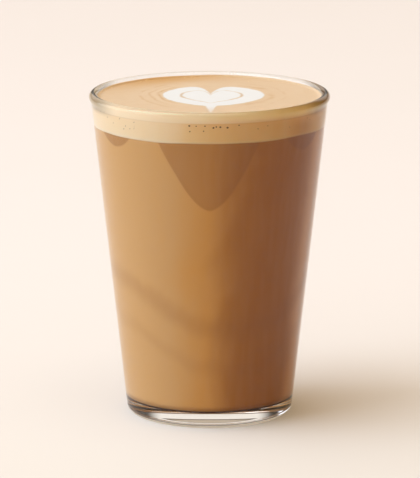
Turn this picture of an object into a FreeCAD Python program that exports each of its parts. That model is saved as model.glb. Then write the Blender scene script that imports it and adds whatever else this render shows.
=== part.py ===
import FreeCAD, Part
import math
import os

import Sketcher
from FreeCAD import Vector

# A flat white in a tapered glass tumbler. Millimetres, +Z up, the origin on the
# glass's axis where it stands. The heart poured on the foam points towards -Y.

# Driving dimensions: (alias, millimetres, degrees or a share, what it is).
SIZES = [
    ("glass_height", 113.0, "table to the top of the rim"),
    ("foot_radius", 28.5, "outer wall's line carried down to the table"),
    ("mouth_radius", 41.1, "outer wall's line carried up to the rim's height"),
    ("wall_width", 2.6, "wall, measured level"),
    ("floor_depth", 5.2, "glass under the drink"),
    ("heel_round", 3.3, "outer round between foot and wall"),
    ("foot_ring", 2.6, "flat ring that the glass stands on"),
    ("push_up", 0.9, "hollow under the foot, at the axis"),
    ("corner_round", 4.0, "inner round between floor and wall"),
    ("rim_round", 1.6, "fire-polished bead of the rim, its radius"),
    ("rim_blend", 5.0, "hollow round between the wall and the bead"),
    ("drink_gap", 1.7, "foam's surface below the top of the rim"),
    ("foam_depth", 9.3, "foam's surface down to the coffee"),
    ("meniscus_round", 2.0, "round where the foam climbs the wall"),
    ("meniscus_rise", 0.5, "how far the foam climbs the wall"),
    ("art_depth", 1.5, "white milk foam poured into the surface"),
    ("art_shift", 0.4, "hearts' middle line beside the axis, along X"),
    ("ring_pole", 0.0, "outer heart: its pole behind the axis, along Y"),
    ("ring_reach", 17.3, "outer heart: mean distance from its pole"),
    ("ring_swell", 2.5, "outer heart: how much the lobes outgrow the point"),
    ("ring_notch", 15.2, "outer heart: depth of the cleft between the lobes"),
    ("ring_cleft", 10.0, "outer heart: spread of the cleft, in degrees"),
    ("ring_chin", 3.0, "outer heart: swelling that leads into the point"),
    ("ring_tail", 13.2, "outer heart: length of the drawn-out point"),
    ("ring_point", 3.4, "outer heart: spread of the point, in degrees"),
    ("ring_lean", 0.06, "outer heart: share by which the right lobe is wider"),
    ("heart_pole", 0.0, "inner heart: its pole behind the axis, along Y"),
    ("heart_reach", 9.8, "inner heart: mean distance from its pole"),
    ("heart_swell", 2.4, "inner heart: how much the lobes outgrow the point"),
    ("heart_notch", 10.2, "inner heart: depth of the cleft"),
    ("heart_cleft", 12.0, "inner heart: spread of the cleft, in degrees"),
    ("heart_chin", 3.0, "inner heart: swelling that leads into the point"),
    ("heart_tail", 2.0, "inner heart: length of the drawn-out point"),
    ("heart_point", 9.0, "inner heart: spread of the point, in degrees"),
    ("heart_lean", 0.03, "inner heart: share by which the right lobe is wider"),
    ("crema_line", 0.9, "tan line between the hearts, at their sides"),
    ("crema_thin", 0.25, "the same line at the cleft and at the point"),
]
HEART_KEYS = ("pole", "reach", "swell", "notch", "cleft", "chin", "tail", "point", "lean")
CHIN_POWER = 8  # how closely a heart's chin keeps to its point
SIDE_POINTS = 24  # places worked out along each side of a heart, cleft to point

LEVEL, UPRIGHT = -1, -2  # a sketch's own axes
START, END, CENTRE = 1, 2, 3  # ends and centre of a sketch's edge


def make_sheet(doc):
    """The spreadsheet that holds the driving dimensions."""
    sheet = doc.addObject("Spreadsheet::Sheet", "Sizes")
    for row, (alias, value, meaning) in enumerate(SIZES, start=1):
        sheet.set(f"A{row}", meaning)
        sheet.set(f"B{row}", str(value))
        sheet.setAlias(f"B{row}", alias)
    doc.recompute()
    return sheet


class Profile:
    """A half section in the XZ plane: edges in order, tied end to end."""

    def __init__(self, body, name):
        self.sketch = body.newObject("Sketcher::SketchObject", name)
        plane = [f for f in body.Origin.OriginFeatures if f.Role == "XZ_Plane"][0]
        self.sketch.AttachmentSupport = [(plane, "")]
        self.sketch.MapMode = "FlatFace"

    def line(self, start, end, construction=False):
        edge = Part.LineSegment(Vector(*start), Vector(*end))
        return self.sketch.addGeometry(edge, construction)

    def arc(self, centre, radius, start_deg, end_deg):
        """An arc that runs anticlockwise from start_deg to end_deg."""
        circle = Part.Circle(Vector(*centre), Vector(0, 0, 1), radius)
        edge = Part.ArcOfCircle(circle, math.radians(start_deg), math.radians(end_deg))
        return self.sketch.addGeometry(edge)

    def tie(self, kind, *places):
        self.sketch.addConstraint(Sketcher.Constraint(kind, *places))

    def measure(self, kind, *places, by):
        """A dimension whose value is an expression on the sheet."""
        value = float(self.sketch.evalExpression(by))
        row = self.sketch.addConstraint(Sketcher.Constraint(kind, *places, value))
        self.sketch.setExpression(f"Constraints[{row}]", by)

    def wall_line(self, wall, inset):
        """A helper line up the tapered wall, that far inside the outer one."""
        foot = (wall["foot"] - wall["inset"][inset], 0, 0)
        mouth = (wall["mouth"] - wall["inset"][inset], wall["height"], 0)
        helper = self.line(foot, mouth, construction=True)
        self.tie("PointOnObject", helper, START, LEVEL)
        self.measure("DistanceX", helper, START, by=f"Sizes.foot_radius - {inset}")
        self.measure("DistanceX", helper, END, by=f"Sizes.mouth_radius - {inset}")
        self.measure("DistanceY", helper, END, by="Sizes.glass_height")
        return helper


OUTSIDE = "0"  # inset of the outer wall's line
INSIDE = "Sizes.wall_width"  # inset of the inner wall's line


def wall_facts(sheet):
    """The tapered wall in numbers, for first guesses in the sketches."""
    rise = (sheet.mouth_radius - sheet.foot_radius) / sheet.glass_height
    return {
        "foot": sheet.foot_radius,
        "mouth": sheet.mouth_radius,
        "height": sheet.glass_height,
        "inset": {OUTSIDE: 0.0, INSIDE: sheet.wall_width},
        "rise": rise,
        "lean": math.degrees(math.atan(rise)),
    }


def inner_radius(sheet, height):
    """Radius of the glass's inner wall at a height."""
    rise = (sheet.mouth_radius - sheet.foot_radius) / sheet.glass_height
    return sheet.foot_radius + rise * height - sheet.wall_width


def revolve(body, profile, name):
    """Turns a finished profile once round the glass's axis."""
    turned = body.newObject("PartDesign::Revolution", name)
    turned.Profile = profile.sketch
    turned.ReferenceAxis = (profile.sketch, ["V_Axis"])
    turned.Angle = 360
    return turned


def make_glass(doc, sheet):
    """The tumbler: a heavy foot, a tapered wall and a fire-polished rim."""
    body = doc.addObject("PartDesign::Body", "glass")
    wall = wall_facts(sheet)
    lean, top = wall["lean"], sheet.glass_height
    ring_out = sheet.foot_radius - sheet.heel_round
    ring_in = ring_out - sheet.foot_ring
    bead_height = top - sheet.rim_round
    bead_centre = inner_radius(sheet, bead_height) + sheet.rim_round
    hollow = (ring_in**2 + sheet.push_up**2) / (2 * sheet.push_up)
    corner_height = sheet.floor_depth + sheet.corner_round
    corner_centre = inner_radius(sheet, corner_height) - sheet.corner_round
    blend_height = bead_height - sheet.rim_blend / 2
    blend_wall = inner_radius(sheet, blend_height) + sheet.wall_width

    draw = Profile(body, "glass_profile")
    outer = draw.wall_line(wall, OUTSIDE)
    inner = draw.wall_line(wall, INSIDE)
    hollow_deg = math.degrees(math.acos(ring_in / hollow))
    under = draw.arc((0, sheet.push_up - hollow, 0), hollow, hollow_deg, 90)
    ring = draw.line((ring_in, 0, 0), (ring_out, 0, 0))
    heel = draw.arc((ring_out, sheet.heel_round, 0), sheet.heel_round, -90, -lean)
    side = draw.line(
        (ring_out + sheet.heel_round, sheet.heel_round, 0), (blend_wall, blend_height, 0)
    )
    blend_centre = (blend_wall + sheet.rim_blend, blend_height, 0)
    blend = draw.arc(blend_centre, sheet.rim_blend, 160, 180 - lean)
    bead = draw.arc((bead_centre, bead_height, 0), sheet.rim_round, -20, 180 - lean)
    bore = draw.line(
        (bead_centre - sheet.rim_round, bead_height, 0),
        (corner_centre + sheet.corner_round, corner_height, 0),
    )
    corner = draw.arc(
        (corner_centre, corner_height, 0), sheet.corner_round, -90, -lean
    )
    floor = draw.line((corner_centre, sheet.floor_depth, 0), (0, sheet.floor_depth, 0))
    axis = draw.line((0, sheet.floor_depth, 0), (0, sheet.push_up, 0))

    draw.tie("PointOnObject", under, CENTRE, UPRIGHT)
    draw.tie("PointOnObject", under, END, UPRIGHT)
    draw.measure("DistanceY", under, END, by="Sizes.push_up")
    draw.tie("Coincident", under, START, ring, START)
    draw.tie("PointOnObject", ring, START, LEVEL)
    draw.tie("PointOnObject", ring, END, LEVEL)
    draw.measure("DistanceX", ring, START, ring, END, by="Sizes.foot_ring")
    draw.tie("Tangent", ring, END, heel, START)
    draw.measure("Radius", heel, by="Sizes.heel_round")
    draw.tie("Tangent", heel, END, side, START)
    draw.tie("PointOnObject", side, START, outer)
    draw.tie("PointOnObject", side, END, outer)
    draw.tie("Tangent", side, END, blend, END)
    draw.measure("Radius", blend, by="Sizes.rim_blend")
    draw.tie("Tangent", blend, START, bead, START)
    draw.measure("Radius", bead, by="Sizes.rim_round")
    draw.measure("DistanceY", bead, CENTRE, by="Sizes.glass_height - Sizes.rim_round")
    draw.tie("Tangent", bead, END, bore, START)
    draw.tie("PointOnObject", bore, START, inner)
    draw.tie("PointOnObject", bore, END, inner)
    draw.tie("Tangent", bore, END, corner, END)
    draw.measure("Radius", corner, by="Sizes.corner_round")
    draw.tie("Tangent", corner, START, floor, START)
    draw.tie("Horizontal", floor)
    draw.tie("PointOnObject", floor, END, UPRIGHT)
    draw.measure("DistanceY", floor, END, by="Sizes.floor_depth")
    draw.tie("Coincident", floor, END, axis, START)
    draw.tie("Coincident", axis, END, under, END)

    body.Tip = revolve(body, draw, "glass_turned")
    return body


def make_coffee(doc, sheet):
    """The drink from the glass's floor up to the foam."""
    body = doc.addObject("PartDesign::Body", "coffee")
    wall = wall_facts(sheet)
    line = sheet.glass_height - sheet.drink_gap - sheet.foam_depth
    corner_height = sheet.floor_depth + sheet.corner_round
    corner_centre = inner_radius(sheet, corner_height) - sheet.corner_round

    draw = Profile(body, "coffee_profile")
    inner = draw.wall_line(wall, INSIDE)
    floor = draw.line((0, sheet.floor_depth, 0), (corner_centre, sheet.floor_depth, 0))
    corner = draw.arc(
        (corner_centre, corner_height, 0), sheet.corner_round, -90, -wall["lean"]
    )
    side = draw.line(
        (corner_centre + sheet.corner_round, corner_height, 0),
        (inner_radius(sheet, line), line, 0),
    )
    top = draw.line((inner_radius(sheet, line), line, 0), (0, line, 0))
    axis = draw.line((0, line, 0), (0, sheet.floor_depth, 0))

    draw.tie("PointOnObject", floor, START, UPRIGHT)
    draw.measure("DistanceY", floor, START, by="Sizes.floor_depth")
    draw.tie("Horizontal", floor)
    draw.tie("Tangent", floor, END, corner, START)
    draw.measure("Radius", corner, by="Sizes.corner_round")
    draw.tie("Tangent", corner, END, side, START)
    draw.tie("PointOnObject", side, START, inner)
    draw.tie("PointOnObject", side, END, inner)
    draw.tie("Coincident", side, END, top, START)
    draw.tie("Horizontal", top)
    draw.tie("PointOnObject", top, END, UPRIGHT)
    draw.measure(
        "DistanceY", top, END, by="Sizes.glass_height - Sizes.drink_gap - Sizes.foam_depth"
    )
    draw.tie("Coincident", top, END, axis, START)
    draw.tie("Coincident", axis, END, floor, START)

    body.Tip = revolve(body, draw, "coffee_turned")
    return body


def make_foam_cap(doc, sheet):
    """The whole cap of foam, before the hearts are let into it.

    Its side follows the wall and then, over the last of its height, the inside
    of the rim's bead.
    """
    body = doc.addObject("PartDesign::Body", "foam_cap")
    wall = wall_facts(sheet)
    level = sheet.glass_height - sheet.drink_gap
    line = level - sheet.foam_depth
    contact = level + sheet.meniscus_rise
    bead_height = sheet.glass_height - sheet.rim_round
    bead_centre = inner_radius(sheet, bead_height) + sheet.rim_round
    bead_deg = 180 - math.degrees(math.asin((contact - bead_height) / sheet.rim_round))
    climb = math.degrees(math.acos(1 - sheet.meniscus_rise / sheet.meniscus_round))
    run = sheet.meniscus_round * math.sin(math.radians(climb))

    draw = Profile(body, "foam_profile")
    inner = draw.wall_line(wall, INSIDE)
    under = draw.line((0, line, 0), (inner_radius(sheet, line), line, 0))
    side = draw.line(
        (inner_radius(sheet, line), line, 0),
        (inner_radius(sheet, bead_height), bead_height, 0),
    )
    lip = draw.arc(
        (bead_centre, bead_height, 0), sheet.rim_round, bead_deg, 180 - wall["lean"]
    )
    hollow = (inner_radius(sheet, contact) - run, level + sheet.meniscus_round, 0)
    meniscus = draw.arc(hollow, sheet.meniscus_round, -90, climb - 90)
    top = draw.line((hollow[0], level, 0), (0, level, 0))
    axis = draw.line((0, level, 0), (0, line, 0))

    draw.tie("PointOnObject", under, START, UPRIGHT)
    draw.tie("Horizontal", under)
    draw.tie("PointOnObject", under, END, inner)
    draw.tie("Coincident", under, END, side, START)
    draw.tie("PointOnObject", side, END, inner)
    draw.tie("Tangent", side, END, lip, END)
    draw.measure("Radius", lip, by="Sizes.rim_round")
    draw.measure("DistanceY", lip, CENTRE, by="Sizes.glass_height - Sizes.rim_round")
    draw.tie("Coincident", lip, START, meniscus, END)
    draw.measure("Radius", meniscus, by="Sizes.meniscus_round")
    draw.measure("DistanceY", top, END, lip, START, by="Sizes.meniscus_rise")
    draw.tie("Tangent", meniscus, START, top, START)
    draw.tie("Horizontal", top)
    draw.tie("PointOnObject", top, END, UPRIGHT)
    draw.measure("DistanceY", top, END, by="Sizes.glass_height - Sizes.drink_gap")
    draw.tie("Coincident", top, END, axis, START)
    draw.tie("Coincident", axis, END, under, START)
    draw.measure("DistanceY", under, START, top, END, by="Sizes.foam_depth")

    body.Tip = revolve(body, draw, "foam_turned")
    return body


def heart_side(sheet, heart, side, gap, height):
    """Places down one side of a heart, from its cleft to its point.

    The bearing round the heart's pole runs from 0 at the cleft to half a turn at
    the point, in steps that close up at both ends. The distance from the pole is
    reach, plus swell times the bearing's cosine, plus a chin that grows with a
    high power towards the point, less a bell-shaped notch at the cleft and plus a
    bell-shaped tail at the point. The side is then widened by lean on the right
    or narrowed on the left, and stands off by a gap that grows from its thin
    value at both ends to its full value halfway, as the bearing's sine squared.
    """
    size = {key: getattr(sheet, f"{heart}_{key}") for key in HEART_KEYS}
    thin, full = gap
    places = []
    for step in range(SIDE_POINTS + 1):
        turn = 2 * math.pi * step / SIDE_POINTS
        bearing = (turn - math.sin(turn)) / 2
        off_cleft = bearing / math.radians(size["cleft"])
        off_point = (math.pi - bearing) / math.radians(size["point"])
        far = size["reach"] + size["swell"] * math.cos(bearing)
        far += size["chin"] * ((1 - math.cos(bearing)) / 2) ** CHIN_POWER
        far -= size["notch"] * math.exp(-(off_cleft**2))
        far += size["tail"] * math.exp(-(off_point**2))
        far += thin + (full - thin) * math.sin(bearing) ** 2
        across = side * far * math.sin(bearing) * (1 + side * size["lean"])
        along = far * math.cos(bearing)
        places.append(Vector(sheet.art_shift + across, size["pole"] + along, height))
    return places


def smooth_edge(places):
    """One smooth curve through places."""
    curve = Part.BSplineCurve()
    curve.interpolate(places)
    return curve.toShape()


def make_outline(doc, sheet, name, heart, gap=(0.0, 0.0)):
    """A heart as a flat face at the foam's surface, as an object of the document."""
    level = sheet.glass_height - sheet.drink_gap
    right = heart_side(sheet, heart, 1, gap, level)
    left = heart_side(sheet, heart, -1, gap, level)
    left.reverse()
    left[0], left[-1] = right[-1], right[0]
    outline = doc.addObject("Part::Feature", name)
    outline.Shape = Part.Face(Part.Wire([smooth_edge(right), smooth_edge(left)]))
    return outline


def sink(doc, outline, name):
    """Extrudes an outline down into the foam by the poured foam's depth."""
    solid = doc.addObject("Part::Extrusion", name)
    solid.Base = outline
    solid.DirMode = "Custom"
    solid.Dir = Vector(0, 0, -1)
    solid.Solid = True
    solid.setExpression("LengthFwd", "Sizes.art_depth")
    return solid


def cut(doc, base, tool, name):
    """base with tool taken out of it."""
    result = doc.addObject("Part::Cut", name)
    result.Base = base
    result.Tool = tool
    return result


def fuse(doc, base, tool, name):
    """base and tool as one."""
    result = doc.addObject("Part::Fuse", name)
    result.Base = base
    result.Tool = tool
    return result


def make_surface(doc, sheet):
    """The foam, the outer heart let into it and the inner heart in that."""
    cap = make_foam_cap(doc, sheet)
    heart = sink(doc, make_outline(doc, sheet, "heart_outline", "heart"), "heart")
    crema = (sheet.crema_thin, sheet.crema_line)
    opening = make_outline(doc, sheet, "opening_outline", "heart", crema)
    outer = make_outline(doc, sheet, "ring_outline", "ring")
    ring_plug = sink(doc, outer, "ring_plug")
    ring = cut(doc, ring_plug, sink(doc, opening, "opening_plug"), "heart_ring")
    foam = cut(doc, cap, fuse(doc, ring, heart, "poured_foam"), "foam")
    return [foam, ring, heart]


def check(doc, parts):
    """Stops on any object that failed to build and on any bad solid."""
    for item in doc.Objects:
        if {"Invalid", "Error"} & set(item.State):
            raise RuntimeError(f"{item.Name} did not build: {item.State}")
        if item.isDerivedFrom("Sketcher::SketchObject") and item.solve() != 0:
            raise RuntimeError(f"{item.Name} has no solution")
    for part in parts:
        shape = part.Shape
        if shape.isNull() or not shape.isValid() or not shape.Solids:
            raise RuntimeError(f"{part.Label} is not a valid solid")


def main():
    doc = FreeCAD.newDocument("flat_white")
    sheet = make_sheet(doc)
    parts = [make_glass(doc, sheet), make_coffee(doc, sheet)]
    parts += make_surface(doc, sheet)
    doc.recompute()
    check(doc, parts)
    os.makedirs("parts", exist_ok=True)
    for part in parts:
        part.Shape.exportStep(f"parts/{part.Label}.step")
        box = part.Shape.BoundBox
        print(
            f"{part.Label}: {part.Shape.Volume / 1000:.2f} ml, {len(part.Shape.Faces)} faces, "
            f"{box.XLength:.2f} x {box.YLength:.2f} x {box.ZLength:.2f} mm, "
            f"z {box.ZMin:.2f} to {box.ZMax:.2f}"
        )


main()
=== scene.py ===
"""Flat white in a tapered glass tumbler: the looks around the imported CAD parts.

Lengths are millimetres unless metres are named; meshes are made in metres. +Z is up
the glass's axis, the drinker sits towards -Y, and the cleft of the poured hearts
points to +Y. An azimuth is measured in degrees from the front, positive to the
right. Noise scales are cells per metre.
"""

import logging
import math
from collections.abc import Iterable
from dataclasses import dataclass, field
from enum import Enum
from functools import partial, reduce

import bpy
import numpy as np
from mathutils import Matrix, Vector


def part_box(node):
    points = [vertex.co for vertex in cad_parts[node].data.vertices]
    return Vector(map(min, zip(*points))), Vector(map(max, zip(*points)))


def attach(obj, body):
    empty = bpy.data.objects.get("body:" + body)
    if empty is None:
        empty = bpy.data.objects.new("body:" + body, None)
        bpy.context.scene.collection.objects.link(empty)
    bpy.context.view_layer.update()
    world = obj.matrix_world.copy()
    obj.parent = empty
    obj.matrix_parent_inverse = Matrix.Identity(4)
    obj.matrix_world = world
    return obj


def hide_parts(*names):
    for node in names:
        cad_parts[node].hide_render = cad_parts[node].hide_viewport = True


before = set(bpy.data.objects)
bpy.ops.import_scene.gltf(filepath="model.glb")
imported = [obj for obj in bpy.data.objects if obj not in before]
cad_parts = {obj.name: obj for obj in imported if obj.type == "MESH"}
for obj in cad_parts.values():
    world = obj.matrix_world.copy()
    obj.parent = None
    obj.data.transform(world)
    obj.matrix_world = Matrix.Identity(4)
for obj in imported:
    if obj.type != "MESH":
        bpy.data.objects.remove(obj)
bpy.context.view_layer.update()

MM = 0.001
FULL_TURN = 2.0 * math.pi
SAME_PLACE = 1e-6
ROOT = "root"
LOG = logging.getLogger("flat_white")

Socket = bpy.types.NodeSocket
Colour = tuple[float, float, float]
Span = tuple[float, float]
Feed = Socket | float | Colour
Shape = tuple[np.ndarray, list]
BLACK: Colour = (0.0, 0.0, 0.0)


class Node(Enum):
    """The CAD nodes that pieces of this file stand for."""

    GLASS = "glass"
    COFFEE = "coffee"
    FOAM = "foam"
    OUTER_HEART = "heart_ring"
    INNER_HEART = "heart"


class Slot(Enum):
    """The record's material slots."""

    GLASS = "glass"
    COFFEE = "coffee"
    CREMA = "crema"
    MILK = "milk_foam"


def linear(*display: int) -> Colour:
    """Turns a display colour into scene-linear light.

    Each channel c of 0 to 1 becomes ((c + 0.055) / 1.055) to the power 2.4, or
    c / 12.92 where it is dark.

    Args:
        display: Red, green and blue of 0 to 255.

    Returns:
        The three channels in scene-linear light.
    """
    channels = np.array(display) / 255.0
    bright = ((channels + 0.055) / 1.055) ** 2.4
    return tuple(float(c) for c in np.where(channels > 0.04045, bright, channels / 12.92))


# ---------------------------------------------------------------- meshes


def arc(centre: Span, radius: float, start: float, end: float, count: int) -> np.ndarray:
    """Points on an arc from one angle in degrees to another: centre + radius * (cos, sin)."""
    angles = np.radians(np.linspace(start, end, count))
    return np.asarray(centre) + radius * np.column_stack([np.cos(angles), np.sin(angles)])


def run(start: np.ndarray, end: np.ndarray, count: int) -> np.ndarray:
    """Points on the straight run between two points, ends included."""
    share = np.linspace(0.0, 1.0, count)[:, None]
    return np.asarray(start) * (1 - share) + np.asarray(end) * share


def chain(*parts: np.ndarray) -> np.ndarray:
    """Joins runs end to end and drops points that repeat the one before.

    Args:
        parts: Point arrays, each starting where the last one ended.

    Returns:
        One array of points.
    """
    points = np.concatenate(parts)
    steps = np.linalg.norm(np.diff(points, axis=0), axis=1)
    return points[np.concatenate([[True], steps > SAME_PLACE])]


def lifted(flat: np.ndarray, height: np.ndarray | float) -> np.ndarray:
    """Flat places of shape (..., 2) with their height as the third number."""
    return np.concatenate([flat, np.broadcast_to(height, flat.shape[:-1])[..., None]], axis=-1)


def around(radius: np.ndarray, turn: np.ndarray, height: np.ndarray) -> np.ndarray:
    """Places (radius * sin, -radius * cos, height) of turns in radians from the front."""
    return lifted(radius[..., None] * np.stack([np.sin(turn), -np.cos(turn)], axis=-1), height)


def on_axis(height: float, side: float = 0.0) -> np.ndarray:
    """A place on the glass's axis, or a little to its side."""
    return np.array([side, 0.0, height])


def azimuth_of(points: np.ndarray) -> np.ndarray:
    """The points' degrees from the front."""
    return np.degrees(np.arctan2(points[:, 0], -points[:, 1]))


def ring_quads(low: np.ndarray, high: np.ndarray, columns: int) -> list:
    """Joins each ring in low to its fellow in high, column to next column, by quads.

    Args:
        low: Numbers of the rings that are joined.
        high: Numbers of the rings they are joined to.
        columns: Points in a ring.

    Returns:
        The faces.
    """
    here = np.arange(columns)
    after = (here + 1) % columns
    low, high = low[:, None] * columns, high[:, None] * columns
    quads = np.stack([low + here, low + after, high + after, high + here], axis=-1)
    return quads.reshape(-1, 4).tolist()


def closed_grid(rings: np.ndarray, first: np.ndarray, last: np.ndarray) -> Shape:
    """Joins a stack of rings by quads and closes each end with a fan to a pole.

    Args:
        rings: Points of shape (rings, columns, 3).
        first: The pole before the first ring.
        last: The pole after the last ring.

    Returns:
        The points of shape (n, 3) and the list of faces.
    """
    count, columns, _ = rings.shape
    points = np.concatenate([rings.reshape(-1, 3), [first], [last]])
    here = np.arange(columns)
    after = (here + 1) % columns
    bottom, end = count * columns, (count - 1) * columns
    fans = np.concatenate(
        [
            np.column_stack([np.full(columns, bottom), after, here]),
            np.column_stack([end + here, end + after, np.full(columns, bottom + 1)]),
        ]
    )
    quads = ring_quads(np.arange(count - 1), np.arange(1, count), columns)
    return points, quads + fans.tolist()


def closed_tube(rings: np.ndarray) -> Shape:
    """Joins a stack of rings by quads, and its last ring to its first.

    Args:
        rings: Points of shape (rings, columns, 3).

    Returns:
        The points of shape (n, 3) and the list of faces.
    """
    numbers = np.arange(len(rings))
    faces = ring_quads(numbers, (numbers + 1) % len(rings), rings.shape[1])
    return rings.reshape(-1, 3), faces


def show(thing: bpy.types.Object) -> bpy.types.Object:
    """Links a new object to the scene."""
    bpy.context.scene.collection.objects.link(thing)
    return thing


def make_piece(
    name: str, points: np.ndarray, faces: list, crease: float = 35.0
) -> bpy.types.Object:
    """Makes a smooth-shaded mesh object whose faces point outwards.

    The volume inside the faces is a sixth of the sum of the triple products of
    their corners; where it comes out negative, every face is turned round.

    Args:
        name: The piece's name.
        points: Its points in millimetres, of shape (n, 3).
        faces: Its faces as lists of point numbers.
        crease: Edges sharper than this angle, in degrees, stay sharp.

    Returns:
        The new object.
    """
    corners = np.array([face[:3] for face in faces] + [[f[0], f[2], f[-1]] for f in faces])
    a, b, c = (points[corners[:, i]] for i in range(3))
    if np.einsum("ij,ij->i", a, np.cross(b, c)).sum() < 0:
        faces = [face[::-1] for face in faces]
    mesh = bpy.data.meshes.new(name)
    mesh.from_pydata((points * MM).tolist(), [], faces)
    mesh.validate()
    mesh.shade_smooth()
    mesh.set_sharp_from_angle(angle=math.radians(crease))
    return show(bpy.data.objects.new(name, mesh))


def add_fields(piece: bpy.types.Object, **fields: np.ndarray) -> None:
    """Stores numbers on a piece's points, for its material to read.

    Args:
        piece: The piece.
        fields: One value per point, under each attribute's name.
    """
    for name, values in fields.items():
        layer = piece.data.attributes.new(name, "FLOAT", "POINT")
        layer.data.foreach_set("value", np.asarray(values, dtype=np.float32).ravel())


def place(
    piece: bpy.types.Object, finish: bpy.types.Material, slot: Slot, *nodes: Node
) -> None:
    """Dresses a piece and lets it ride on the body, in place of CAD nodes.

    Args:
        piece: The piece.
        finish: Its material.
        slot: The record's slot that the finish comes from; not used.
        nodes: The CAD nodes that it stands for.
    """
    piece.data.materials.append(finish)
    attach(piece, ROOT)
    if nodes:
        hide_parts(*(node.value for node in nodes))
    LOG.info("%s: %d faces", piece.name, len(piece.data.polygons))


def smooth_step(low: float, high: float, value: np.ndarray) -> np.ndarray:
    """Rises from 0 at low to 1 at high as 3t^2 - 2t^3 of the share between them."""
    share = np.clip((value - low) / (high - low), 0.0, 1.0)
    return share * share * (3.0 - 2.0 * share)


def bell(value: np.ndarray, centre: float, spread: float) -> np.ndarray:
    """A bell of height 1: exp of minus the squared offset in spreads."""
    return np.exp(-(((value - centre) / spread) ** 2))


def turn_offset(angle: np.ndarray, centre: float) -> np.ndarray:
    """Degrees from a centre angle, wrapped to between -180 and 180."""
    return (angle - centre + 180.0) % 360.0 - 180.0


def bell_round(azimuth: np.ndarray, centre: float, spread: float) -> np.ndarray:
    """A bell about an azimuth, which goes on past the back."""
    return bell(turn_offset(azimuth, centre), 0.0, spread)


# ---------------------------------------------------------------- node trees


class Desk:
    """A node tree that is being wired."""

    def __init__(self, tree: bpy.types.NodeTree) -> None:
        """Starts on an emptied tree."""
        self.tree = tree
        tree.nodes.clear()

    def add(self, kind: str, **settings) -> bpy.types.Node:
        """Adds a node.

        Args:
            kind: The node's type name without its ShaderNode prefix.
            settings: Properties of the node to set.

        Returns:
            The new node.
        """
        full = kind if kind.startswith("Node") else "ShaderNode" + kind
        node = self.tree.nodes.new(full)
        for name, value in settings.items():
            setattr(node, name, value)
        return node

    def wire(self, sockets: Iterable[Socket], values: Iterable[Feed]) -> None:
        """Links values to sockets in order, or sets them where they are plain.

        Args:
            sockets: The inputs.
            values: A socket, number or colour for each input.
        """
        for socket, value in zip(sockets, values):
            if isinstance(value, Socket):
                self.tree.links.new(value, socket)
            else:
                socket.default_value = (*value, 1.0) if socket.type == "RGBA" else value

    def feed(self, node: bpy.types.Node, **values: Feed) -> bpy.types.Node:
        """Sets or links inputs, named with underscores for spaces."""
        self.wire([node.inputs[name.replace("_", " ")] for name in values], values.values())
        return node

    def math(self, operation: str, *terms: Feed) -> Socket:
        """Adds a Math node over sockets or numbers.

        Args:
            operation: The node's operation.
            terms: Its inputs in order.

        Returns:
            The result's socket.
        """
        node = self.add("Math", operation=operation)
        self.wire(node.inputs, terms)
        return node.outputs[0]

    def times(self, *terms: Feed) -> Socket:
        """Multiplies the terms."""
        return reduce(partial(self.math, "MULTIPLY"), terms)

    def plus(self, *terms: Feed) -> Socket:
        """Adds the terms up."""
        return reduce(partial(self.math, "ADD"), terms)

    def sway(self, value: Feed, noise: Socket, reach: float) -> Socket:
        """Sets a value off by reach times a noise that is 0.5 on average."""
        return self.math("MULTIPLY_ADD", self.math("SUBTRACT", noise, 0.5), reach, value)

    def step(self, value: Socket, low: float, high: float, top: float = 1.0) -> Socket:
        """Adds a smooth rise from 0 to top as value goes from low to high.

        Args:
            value: The socket that is measured.
            low: Where the rise starts.
            high: Where it ends, which may lie below low for a fall.
            top: The value after the rise.

        Returns:
            The result's socket.
        """
        node = self.add("MapRange", interpolation_type="SMOOTHSTEP")
        ends = (top, 0.0) if high < low else (0.0, top)
        self.wire(node.inputs, (value, min(low, high), max(low, high), *ends))
        return node.outputs["Result"]

    def band(self, value: Socket, centre: float, half: float, top: float = 1.0) -> Socket:
        """Adds a smooth hump of height top and half width half about a centre."""
        away = self.math("ABSOLUTE", self.math("SUBTRACT", value, centre))
        return self.step(away, half, 0.0, top)

    def mix(self, share: Feed, first: Feed, second: Feed, how: str = "MIX") -> Socket:
        """Adds a colour mix.

        Args:
            share: 0 for the first colour and 1 for the second.
            first: A colour.
            second: A colour.
            how: The blend type.

        Returns:
            The mixed colour's socket.
        """
        node = self.add("Mix", data_type="RGBA", blend_type=how)
        self.wire((node.inputs[0], *node.inputs[6:8]), (share, first, second))
        return node.outputs[2]

    def lay(self, colour: Feed, *coats: tuple[Feed, Feed]) -> Socket:
        """Lays tones over a colour.

        Args:
            colour: The ground.
            coats: Share and tone of each coat in order.

        Returns:
            The last mix's socket.
        """
        for share, tone in coats:
            colour = self.mix(share, colour, tone)
        return colour

    def noise(self, vector: Socket, scale: float, detail: float, **more: float) -> Socket:
        """Adds a noise field, about 0.5 on average, read at a place in metres."""
        node = self.add("TexNoise")
        return self.feed(node, Vector=vector, Scale=scale, Detail=detail, **more).outputs["Fac"]

    def attribute(self, name: str) -> Socket:
        """Adds a reader of a number stored on the piece's points."""
        return self.add("Attribute", attribute_name=name).outputs["Fac"]

    def object_place(self) -> Socket:
        """Adds a reader of the place on the object, in metres."""
        return self.add("TexCoord").outputs["Object"]

    def axes(self, vector: Socket) -> bpy.types.NodeOutputs:
        """Splits a vector into X, Y and Z."""
        return self.feed(self.add("SeparateXYZ"), Vector=vector).outputs

    def use(self, group: bpy.types.NodeTree, **values: Feed) -> bpy.types.NodeOutputs:
        """Places a node group that reads the place on the object, and gives its outputs."""
        node = self.add("Group", node_tree=group)
        return self.feed(node, Place=self.object_place(), **values).outputs


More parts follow.
